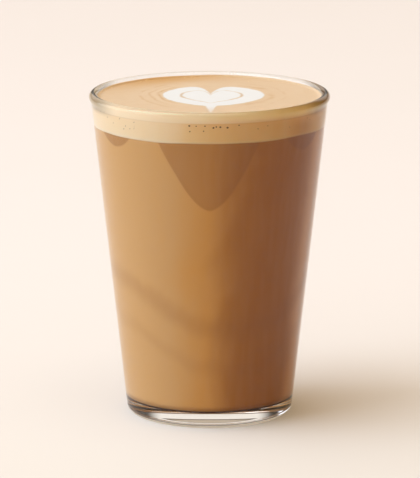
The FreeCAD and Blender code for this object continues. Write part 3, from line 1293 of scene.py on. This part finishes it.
@dataclass
class Foam:
    """The foam with both hearts let into its surface, face to face.

    A ripple is (size, turn per millimetre of X, turn per millimetre of Y, start), a
    wave of the bank (share, waves in a full turn, start in degrees), and a painted
    dark tone round the wall (strength, azimuth, spread). A span is where a tone
    starts and where it is full.
    """

    drink: Drink
    outer: Heart = Heart(17.3, 2.5, 15.2, 10.0, 3.0, 13.2, 3.4, 0.06)
    inner: Heart = Heart(9.8, 2.4, 10.2, 12.0, 3.0, 2.0, 9.0, 0.03)
    line_gap: Span = (0.25, 0.9)
    collar: float = 7.1
    side_columns: int = 220
    ripple: float = 0.035
    ripples: tuple[tuple, ...] = (
        (1.0, 0.31, 0.17, 0.5),
        (1.0, -0.29, 0.23, 2.0),
        (0.5, 0.71, -0.43, 0.0),
        (0.5, 0.38, 0.67, 1.0),
    )
    bank_waves: tuple[tuple, ...] = ((0.10, 5, 0.0), (0.08, 11, 40.0))
    tail: Span = (-17.0, -29.0)
    tail_thinning: float = 0.3
    tail_paling: float = 0.45
    # Painted shade near the wall at the back left: strength, azimuth, spread and radii.
    amber: tuple[float, float, float] = (0.95, -152.0, 40.0)
    amber_radius: Span = (22.0, 37.0)
    flank_side: Span = (8.0, 16.0)
    flank_radius: Span = (37.5, 31.0)
    # Painted dark reflection on the foam's side: strength, azimuth, spread and height.
    patch: tuple[float, float, float] = (0.4, 55.0, 11.0)
    patch_height: Span = (8.0, 3.0)
    # Painted light on the foam's side, along its left flank, which faces the key lamp.
    left_light: Span = (10.0, -40.0)
    behind: Span = (178.0, 130.0)

    def __post_init__(self) -> None:
        """Works out the columns: bearings that close up at cleft and point."""
        turn = np.linspace(0.0, FULL_TURN, self.side_columns, endpoint=False)
        half = (turn - 0.9 * np.sin(turn)) / 2.0
        self.bearing = np.concatenate([half, [math.pi], half[:0:-1]])
        self.side = np.repeat([1.0, -1.0], self.side_columns)

    def relief(self, places: np.ndarray) -> np.ndarray:
        """Height of the surface above its level: the mean of its slow ripples.

        Args:
            places: Places with X and Y first.

        Returns:
            Heights.
        """
        x, y = places[..., 0], places[..., 1]
        waves = sum(size * np.sin(a * x + b * y + start) for size, a, b, start in self.ripples)
        return self.ripple * waves / sum(size for size, *_ in self.ripples)

    def lay(self, start: np.ndarray, end: np.ndarray, shares: np.ndarray) -> np.ndarray:
        """Rings of the surface between two outlines.

        Args:
            start: The inner outline, of shape (columns, 2).
            end: The outer outline, of shape (columns, 2).
            shares: How far each ring lies from start to end.

        Returns:
            Rings of shape (len(shares), columns, 3).
        """
        share = shares[:, None, None]
        flat = start * (1.0 - share) + end * share
        return lifted(flat, self.drink.level + self.relief(flat))

    def at_floor(self, outline: np.ndarray) -> np.ndarray:
        """One ring of an outline at the hearts' undersides."""
        return lifted(outline, self.drink.art_floor)[None]

    @staticmethod
    def shares(count: int, crowd: float = 0.75) -> np.ndarray:
        """Shares from 0 to 1 that crowd at both ends."""
        even = np.linspace(0.0, 1.0, count)
        return even - crowd * np.sin(FULL_TURN * even) / FULL_TURN

    def outlines(self) -> tuple[np.ndarray, np.ndarray, np.ndarray]:
        """The inner heart, its opening in the outer heart, and the outer heart."""
        return (
            self.inner.outline(self.bearing, self.side),
            self.inner.outline(self.bearing, self.side, self.line_gap),
            self.outer.outline(self.bearing, self.side),
        )

    def wall_rings(self, ring: np.ndarray) -> tuple[np.ndarray, np.ndarray]:
        """Rings from the outer heart out to the wall, up its meniscus and down it.

        The meniscus is an arc that leaves the surface level and meets the wall;
        it goes on by the seat into the glass. Down the wall the rings follow the
        inner wall plus the seat to the uneven border with the coffee.

        Args:
            ring: The outer heart's outline.

        Returns:
            The surface's rings and the rings down the wall.
        """
        drink = self.drink
        heading = np.arctan2(self.side * np.sin(self.bearing), np.cos(self.bearing))
        turn = np.degrees(heading)
        way = np.column_stack([np.sin(heading), np.cos(heading)])
        start = drink.contact[0] - drink.spread
        shelf = start * way
        flat = self.lay(ring, shelf, self.shares(46, 0.6))
        lift = sum(size * np.sin(np.radians(n * turn + at)) for size, n, at in self.bank_waves)
        grow = np.linspace(0.0, 1.0, 12)[1:, None]
        rise = drink.level + drink.bank(drink.spread * grow) * (1.0 + lift)
        rise = rise + self.relief(shelf) * (1.0 - grow)
        bank = lifted((start + drink.spread * grow)[..., None] * way, rise)
        tip_height = rise[-1] + drink.seat * math.tan(drink.climb)
        tip = lifted(drink.wall(tip_height)[:, None] * way, tip_height)
        low = drink.uneven_line(turn_offset(180.0 - turn, 0.0))
        down = np.linspace(0.0, 1.0, 60)[1:, None]
        drop = tip_height + down * (low - tip_height)
        side = lifted(drink.wall(drop)[..., None] * way, drop)
        return np.concatenate([flat, bank, tip[None]]), side

    def build_layer(self, finish: bpy.types.Material) -> None:
        """Makes the foam round, between and under the hearts.

        One closed surface runs from under the inner heart up its side, over the
        tan line, down and under the outer heart, up and over the foam to the
        wall, and down the wall to a pole in its underside.

        Args:
            finish: The foam's material.
        """
        drink = self.drink
        heart, opening, ring = self.outlines()
        strip = self.lay(heart, opening, np.linspace(0.0, 1.0, 5))
        top, side = self.wall_rings(ring)
        share = np.linspace(1.0, 0.0, 6)[1:-1, None]
        base = side[-1, :, :2] * share[..., None]
        base = lifted(base, drink.line + (side[-1, :, 2] - drink.line) * share)
        upper = [self.at_floor(heart), strip, self.at_floor(opening), self.at_floor(ring), top]
        points, faces = closed_grid(
            np.concatenate([*upper, side, base]),
            on_axis(drink.art_floor, self.inner.shift),
            on_axis(drink.line),
        )
        piece = make_piece("foam_layer", points, faces)
        on_wall = np.zeros(len(points))
        tip = sum(map(len, upper)) - 1
        on_wall[tip * len(ring) : (tip + len(side) + 1) * len(ring)] = 1.0
        self.add_surface_looks(piece, points)
        self.add_wall_looks(piece, points, on_wall)
        place(piece, finish, Slot.CREMA, Node.FOAM)

    def add_surface_looks(self, piece: bpy.types.Object, points: np.ndarray) -> None:
        """Stores the depth into the milk, the flanks' strength and the painted shade by the wall.

        The milk is the outer heart less its opening, or the inner heart; its
        drawn-out point thins and pales towards its tip. Painted shade gathers near the
        wall at the back left.

        Args:
            piece: A piece of the surface.
            points: Its points.
        """
        places, across = points[:, :2], points[:, 0]
        opening = self.inner.depth(places, self.line_gap)
        ring = np.minimum(self.outer.depth(places), -opening)
        milk = np.maximum(ring, self.inner.depth(places))
        down = smooth_step(*self.tail, points[:, 1]) * (milk > -3.0)
        radius = np.hypot(*places.T)
        # Painted shade near the wall at the back left.
        strength, azimuth, spread = self.amber
        back_left = strength * bell_round(azimuth_of(points), azimuth, spread)
        inside = smooth_step(*self.flank_radius, radius)
        add_fields(
            piece,
            milk_depth=milk - self.tail_thinning * down,
            milk_strength=1.0 - self.tail_paling * down,
            amber=back_left * smooth_step(*self.amber_radius, radius),
            left_flank=smooth_step(*self.flank_side, -across) * inside,
            right_flank=smooth_step(*self.flank_side, across) * inside,
        )

    def add_wall_looks(
        self, piece: bpy.types.Object, points: np.ndarray, on_wall: np.ndarray
    ) -> None:
        """Stores where the foam lies on the wall, its painted dark reflection, its painted light
        and its dark ring.

        A painted dark reflection lies low at the front right. The collar at the top
        and the left flank get painted light, and a thin dark ring runs below the collar.

        Args:
            piece: The foam layer.
            points: Its points.
            on_wall: 1 on the wall and 0 elsewhere.
        """
        azimuth, above = azimuth_of(points), points[:, 2] - self.drink.line
        # Painted dark reflection low at the front right of the foam's side.
        strength, centre, spread = self.patch
        patch = bell_round(azimuth, centre, spread) * smooth_step(*self.patch_height, above)
        collar = smooth_step(self.collar - 0.1, self.collar + 0.5, above)
        flanks = bell(np.abs(azimuth), 62.0, 27.0) + 0.25 * bell(azimuth, 0.0, 40.0)
        # Painted light on the foam's side: the left flank, which faces the key lamp, and the
        # collar, lit through the foam from above.
        left = smooth_step(*self.left_light, azimuth) * smooth_step(*self.behind, np.abs(azimuth))
        light = 0.2 * bell(above, 0.5, 0.45) + 0.9 * collar + 0.6 * left
        add_fields(
            piece,
            on_wall=on_wall,
            side_dark=strength * patch,
            side_light=np.minimum(light, 1.0),
            dark_ring=0.15 * bell(above, self.collar, 0.2) * flanks,
        )

    def build_hearts(self, finish: bpy.types.Material) -> None:
        """Makes the two hearts, each a closed solid that fills its pocket.

        Args:
            finish: The milk foam's material.
        """
        heart, opening, ring = self.outlines()
        top = on_axis(self.drink.level, self.inner.shift)
        bottom = on_axis(self.drink.art_floor, self.inner.shift)
        top[2] += self.relief(top)
        fan = 1.0 - (1.0 - np.linspace(0, 1, 30)[1:]) ** 1.5
        inner = [self.lay(np.broadcast_to(top[:2], heart.shape), heart, fan), self.at_floor(heart)]
        outer = [
            self.lay(opening, ring, self.shares(34)),
            self.at_floor(ring),
            self.at_floor(opening),
        ]
        for name, (points, faces), node in (
            ("heart_inner", closed_grid(np.concatenate(inner), top, bottom), Node.INNER_HEART),
            ("heart_outer", closed_tube(np.concatenate(outer)), Node.OUTER_HEART),
        ):
            piece = make_piece(name, points, faces)
            self.add_surface_looks(piece, points)
            place(piece, finish, Slot.MILK, node)


@dataclass
class Bubbles:
    """Small bubbles: a string of them behind the glass and froth at the wall.

    Each of the string is (azimuth, depth under the level, radius).
    """

    drink: Drink
    seed: int = 12
    loose: int = 46
    froth: int = 420
    string: tuple[tuple[float, float, float], ...] = (
        (-10.0, 2.9, 0.36),
        (-9.8, 4.9, 0.24),
        (-6.6, 3.0, 0.22),
        (-2.2, 2.9, 0.26),
        (-2.9, 4.7, 0.22),
        (2.0, 3.5, 0.36),
        (3.4, 3.2, 0.26),
        (5.4, 3.3, 0.34),
        (9.0, 3.5, 0.38),
        (14.8, 2.8, 0.24),
    )

    @staticmethod
    def ball() -> Shape:
        """Makes a unit ball of 6 by 10 faces: sines and cosines of two angles.

        Returns:
            Its points and faces.
        """
        lift = np.linspace(-math.pi / 2, math.pi / 2, 7)[1:-1, None]
        turn = np.linspace(0.0, FULL_TURN, 10, endpoint=False)
        flat = np.stack([np.cos(lift) * np.cos(turn), np.cos(lift) * np.sin(turn)], axis=-1)
        return closed_grid(lifted(flat, np.sin(lift)), on_axis(-1.0), on_axis(1.0))

    def scatter(self, name: str, centres: np.ndarray, sizes: np.ndarray) -> bpy.types.Object:
        """Joins many balls into one mesh.

        Args:
            name: The piece's name.
            centres: Places of shape (n, 3).
            sizes: Half sizes along out, round and up, of shape (n, 3).

        Returns:
            The piece.
        """
        ball, faces = self.ball()
        bearing = np.arctan2(centres[:, 1], centres[:, 0])
        sine, cosine, zero = np.sin(bearing), np.cos(bearing), 0 * bearing
        axes = ([cosine, sine, zero], [-sine, cosine, zero], [zero, zero, zero + 1.0])
        points = centres[:, None, :] + sum(
            ball[None, :, i : i + 1] * (sizes[:, i : i + 1] * np.column_stack(axis))[:, None]
            for i, axis in enumerate(axes)
        )
        every = [
            [corner + i * len(ball) for corner in face]
            for i in range(len(centres))
            for face in faces
        ]
        return make_piece(name, points.reshape(-1, 3), every)

    def behind_glass(self, draw: np.random.Generator) -> bpy.types.Object:
        """Makes the string and some loose bubbles under the foam's edge.

        Args:
            draw: The random numbers.

        Returns:
            The piece.
        """
        azimuth, depth, radius = np.array(self.string).T
        azimuth = np.concatenate([azimuth, draw.uniform(24.0, 336.0, self.loose)])
        depth = np.concatenate([depth, draw.gamma(3.0, 1.0, self.loose) + 1.2])
        radius = np.concatenate([radius, draw.uniform(0.1, 0.22, self.loose)])
        height = self.drink.level - np.clip(depth, 0.0, 8.0)
        centres = around(self.drink.wall(height) - 0.02, np.radians(azimuth), height)
        sizes = np.column_stack([np.full(len(radius), 0.07), radius, radius * 0.92])
        return self.scatter("bubbles_behind_glass", centres, sizes)

    def at_wall(self, draw: np.random.Generator) -> bpy.types.Object:
        """Makes the froth along the meniscus, thickest at the front right.

        Args:
            draw: The random numbers.

        Returns:
            The piece.
        """
        drink, half = self.drink, self.froth // 2
        azimuth = np.concatenate([draw.normal(38.0, 20.0, half), draw.uniform(0.0, 360.0, half)])
        inward = draw.gamma(1.6, 0.55, self.froth) + 0.12
        radius = draw.uniform(0.07, 0.2, self.froth)
        lift = drink.bank(np.clip(drink.spread - inward, 0.0, None))
        height = drink.level + lift - radius * 0.25
        centres = around(drink.contact[0] - inward, np.radians(azimuth), height)
        return self.scatter("froth_at_wall", centres, radius[:, None] * (1.0, 1.0, 0.8))

    def build(self, dark: bpy.types.Material, pale: bpy.types.Material) -> None:
        """Makes both kinds, drawn one after the other from one seed.

        Args:
            dark: The finish of bubbles behind the glass.
            pale: The finish of the froth.
        """
        draw = np.random.default_rng(self.seed)
        place(self.behind_glass(draw), dark, Slot.CREMA)
        place(self.at_wall(draw), pale, Slot.CREMA)


# ---------------------------------------------------------------- the studio


@dataclass(frozen=True)
class Softbox:
    """A soft square lamp that faces the glass; its lengths are metres."""

    name: str
    azimuth: float
    elevation: float
    distance: float
    width: float
    height: float
    power: float
    colour: Colour

    def build(self, aim: Vector) -> None:
        """Hangs the lamp at its bearing from the front.

        Args:
            aim: The place that it faces.
        """
        lamp = bpy.data.lights.new(self.name, "AREA")
        lamp.shape = "RECTANGLE"
        lamp.size, lamp.size_y = self.width, self.height
        lamp.energy = self.power
        lamp.color = self.colour
        turn, lift = math.radians(self.azimuth), math.radians(self.elevation)
        level = math.cos(lift)
        away = Vector((math.sin(turn) * level, -math.cos(turn) * level, math.sin(lift)))
        holder = show(bpy.data.objects.new(self.name, lamp))
        holder.location = aim + away * self.distance
        holder.rotation_euler = away.to_track_quat("Z", "Y").to_euler()
        holder.visible_camera = False


@dataclass(frozen=True)
class Surround:
    """What lights the drink and what shows in the clear glass, by direction.

    A direction is one of length 1, and each span is where a tone starts and where
    it is full along X (right), Y (back) or Z (up).
    """

    backdrop: Colour = linear(250, 240, 229)
    light_right: Colour = (0.335, 0.18, 0.0)
    light_left: Colour = (1.59, 1.57, 1.47)
    light_above: Colour = (0.356, 0.227, 0.13)
    left: Span = (0.3, -0.9)
    above: Span = (0.2, 0.95)
    dim: Colour = (0.05, 0.04, 0.03)
    dim_sides: Span = (0.4, 0.62)
    dim_top: Span = (0.34, 0.5)
    front: Colour = (0.52, 0.41, 0.29)
    front_span: Span = (0.0, -0.5)
    strip: Colour = (0.16, 0.13, 0.09)
    strip_height: Span = (0.13, 0.1)
    strip_back: Span = (0.1, 0.5)
    pane: Colour = (1.9, 1.95, 2.1)
    pane_left: Span = (-0.68, -0.76)

    def build(self, world: bpy.types.World) -> None:
        """Shows a pale backdrop, and lights the drink from a dim, graded one.

        What the camera sees directly is the backdrop's colour. What lights the
        drink falls off from the left to the right. What shows in the clear glass
        is the backdrop, dim high up and to the sides, dim and warm in front, with
        a dim low strip behind and a bright pane far left.

        Args:
            world: The world to wire.
        """
        desk = Desk(world.node_tree)
        x, y, z = desk.axes(desk.add("TexCoord").outputs["Generated"])
        from_left = desk.mix(desk.step(x, *self.left), self.light_right, self.light_left)
        from_above = desk.mix(desk.step(z, *self.above), BLACK, self.light_above)
        side = desk.step(desk.math("ABSOLUTE", x), *self.dim_sides)
        rays = desk.add("LightPath").outputs
        colour = desk.lay(
            self.backdrop,
            (desk.math("MAXIMUM", side, desk.step(z, *self.dim_top)), self.dim),
            (desk.step(y, *self.front_span), self.front),
            (
                desk.times(desk.band(z, *self.strip_height), desk.step(y, *self.strip_back)),
                self.strip,
            ),
            (desk.step(x, *self.pane_left), self.pane),
            (rays["Is Diffuse Ray"], desk.mix(1.0, from_left, from_above, "ADD")),
            (rays["Is Camera Ray"], self.backdrop),
        )
        sky = desk.feed(desk.add("Background"), Color=colour, Strength=1.0)
        desk.feed(desk.add("OutputWorld"), Surface=sky.outputs[0])


@dataclass
class Studio:
    """Pale floor, soft lamps, dim surroundings and the camera, in metres and degrees."""

    glass: Tumbler
    floor_size: float = 8.0
    floor_drop: float = 0.05 * MM
    camera_distance: float = 1.4545
    camera_elevation: float = 12.565
    lens: float = 315.5
    aim_side: float = 0.0002
    aim_lift: float = 0.00446
    lamps: tuple[Softbox, ...] = (
        Softbox("key", -72.0, 52.0, 3.0, 2.0, 2.2, 42.7, (0.89, 0.95, 1.0)),
        Softbox("overhead", 0.0, 82.0, 3.0, 2.5, 2.0, 27.0, (1.0, 0.93, 0.82)),
    )

    def build(self) -> None:
        """Sets up everything around the drink."""
        middle = Vector((0.0, 0.0, self.glass.height * MM / 2))
        self.lay_floor()
        for lamp in self.lamps:
            lamp.build(middle)
        scene = bpy.context.scene
        scene.world = bpy.data.worlds.new("studio")
        scene.world.use_nodes = True
        Surround().build(scene.world)
        self.stand_camera(middle)
        scene.view_settings.view_transform = "Standard"
        scene.cycles.max_bounces = 16
        scene.cycles.transmission_bounces = 12
        scene.cycles.transparent_max_bounces = 16
        LOG.info("studio: %d lamps", len(self.lamps))

    def lay_floor(self) -> None:
        """Lays the floor just under the glass."""
        half = self.floor_size / 2
        mesh = bpy.data.meshes.new("floor")
        corners = [(-half, -half, 0), (half, -half, 0), (half, half, 0), (-half, half, 0)]
        mesh.from_pydata(corners, [], [(0, 1, 2, 3)])
        mesh.transform(Matrix.Translation((0, 0, -self.floor_drop)))
        mesh.materials.append(FloorFinish().material())
        show(bpy.data.objects.new("floor", mesh))

    def stand_camera(self, middle: Vector) -> None:
        """Stands the camera in front, looking slightly down.

        Args:
            middle: The glass's middle.
        """
        lift = math.radians(self.camera_elevation)
        away = Vector((0.0, -math.cos(lift), math.sin(lift)))
        data = bpy.data.cameras.new("camera")
        data.lens = self.lens
        camera = show(bpy.data.objects.new("camera", data))
        camera.location = middle + away * self.camera_distance
        aim = middle + Vector((self.aim_side, 0.0, self.aim_lift))
        camera.rotation_euler = (camera.location - aim).to_track_quat("Z", "Y").to_euler()
        bpy.context.scene.camera = camera


def main() -> None:
    """Builds the glass, the drink in it, its foam and the studio."""
    logging.basicConfig(level=logging.INFO, format="%(message)s")
    grain, pour, streaks = GrainGroup().build(), PourGroup().build(), StreakGroup().build()
    crema = CremaFinish()
    glass = Tumbler()
    glass.build(GlassFinish().material())
    drink = Drink(glass)
    Coffee(drink).build(CoffeeFinish().material(streaks))
    foam = Foam(drink)
    foam.build_layer(crema.material(pour, grain, streaks))
    foam.build_hearts(MilkFinish(crema).material(pour, grain))
    shadow = BubbleFinish("bubble_shadow", linear(84, 50, 24), linear(112, 72, 38), 0.5, 0.0)
    froth = BubbleFinish("froth", linear(222, 190, 148), linear(240, 220, 188), 0.25, 0.5)
    Bubbles(drink).build(shadow.material(), froth.material())
    Studio(glass).build()


if __name__ == "__main__":
    main()
